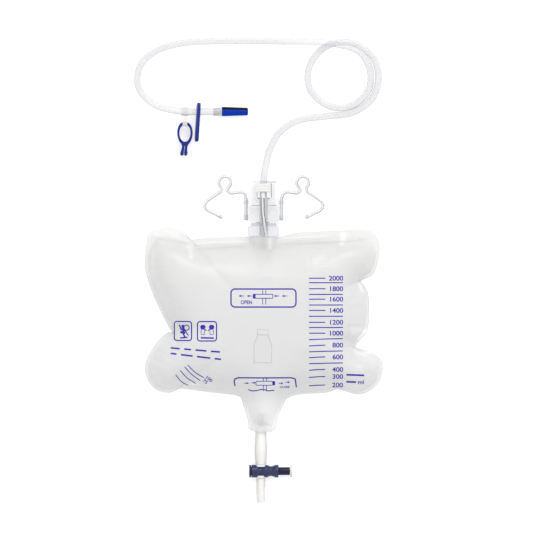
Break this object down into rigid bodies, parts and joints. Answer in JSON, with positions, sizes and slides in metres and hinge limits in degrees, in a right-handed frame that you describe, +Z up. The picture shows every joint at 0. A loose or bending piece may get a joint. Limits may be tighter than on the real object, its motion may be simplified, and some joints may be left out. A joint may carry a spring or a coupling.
{
  "type": "urine drainage bag",
  "caption": "Soft clear bag lying flat, with a hanger bracket and swivel hooks, a long coiled inlet tube with clamp, clip and capped connector, and a push-pull outlet tap.",
  "frame": {"origin": "on the table, under the middle of the bag with its hanger, hooks and outlet", "axes": "+Z up, out of the bag's front; +Y towards the bag's top and its hanger; +X to the bag's right, the side of the tap's button"},
  "size_m": [0.2734, 0.5116, 0.0471],
  "materials": {
    "clear_film": "soft clear film with a satin emboss",
    "clear_moulded": "translucent moulded plastic",
    "clear_tube": "clear soft tube",
    "white_plastic": "white moulded plastic",
    "blush_plastic": "soft translucent strap",
    "blue_plastic": "blue moulded plastic",
    "cap_blue": "bright blue moulded plastic",
    "navy_plastic": "dark blue moulded plastic",
    "spool_violet": "dark violet moulded plastic",
    "violet_ink": "violet-blue print on the film",
    "black_rubber": "black sealing rubber"
  },
  "bodies": {
    "root": {"front_film": "clear_film", "back_film": "clear_film", "spout_pocket": "clear_film", "anti_reflux_flap": "clear_film", "inlet_port": "clear_moulded", "hanger_bracket": "clear_moulded", "inlet_connector": "clear_moulded", "drip_chamber": "clear_tube", "outlet_port": "clear_moulded", "outlet_tube": "clear_tube", "tap_body": "navy_plastic", "spout_tube": "clear_tube", "drainage_tube": "clear_tube", "catheter_connector": "clear_moulded", "clip_strap": "blush_plastic"},
    "hook_left": {"hook_left": "clear_moulded"},
    "hook_right": {"hook_right": "clear_moulded"},
    "tap_spool": {"tap_spool": "spool_violet", "spool_button": "white_plastic", "seal_ring_1": "black_rubber", "seal_ring_2": "black_rubber", "seal_ring_3": "black_rubber"},
    "slide_clamp": {"slide_clamp": "blue_plastic"},
    "sheet_clip": {"sheet_clip": "blue_plastic"},
    "protective_cap": {"protective_cap": "cap_blue"}
  },
  "joints": [
    {"name": "tap_slide", "type": "slide", "parent": "root", "child": "tap_spool", "axis": [1, 0, 0], "range_m": [-0.0124, 0]},
    {"name": "hook_left_swivel", "type": "hinge", "parent": "root", "child": "hook_left", "pos_m": [-0.0195, 0.14, 0.0071], "axis": [0, 1, 0], "range_deg": [-90, 90]},
    {"name": "hook_right_swivel", "type": "hinge", "parent": "root", "child": "hook_right", "pos_m": [0.0195, 0.14, 0.0071], "axis": [0, 1, 0], "range_deg": [-90, 90]},
    {"name": "clamp_slide", "type": "slide", "parent": "root", "child": "slide_clamp", "axis": [0.0593, 0.9982, 0], "range_m": [0, 0.021], "deforming": ["drainage_tube"]},
    {"name": "clip_swing", "type": "hinge", "parent": "root", "child": "sheet_clip", "pos_m": [-0.0867, 0.236, 0.0063], "axis": [1, 0, 0], "range_deg": [-100, 100]},
    {"name": "cap_pull", "type": "slide", "parent": "root", "child": "protective_cap", "axis": [0.9971, 0, -0.0767], "range_m": [0, 0.032]}
  ]
}
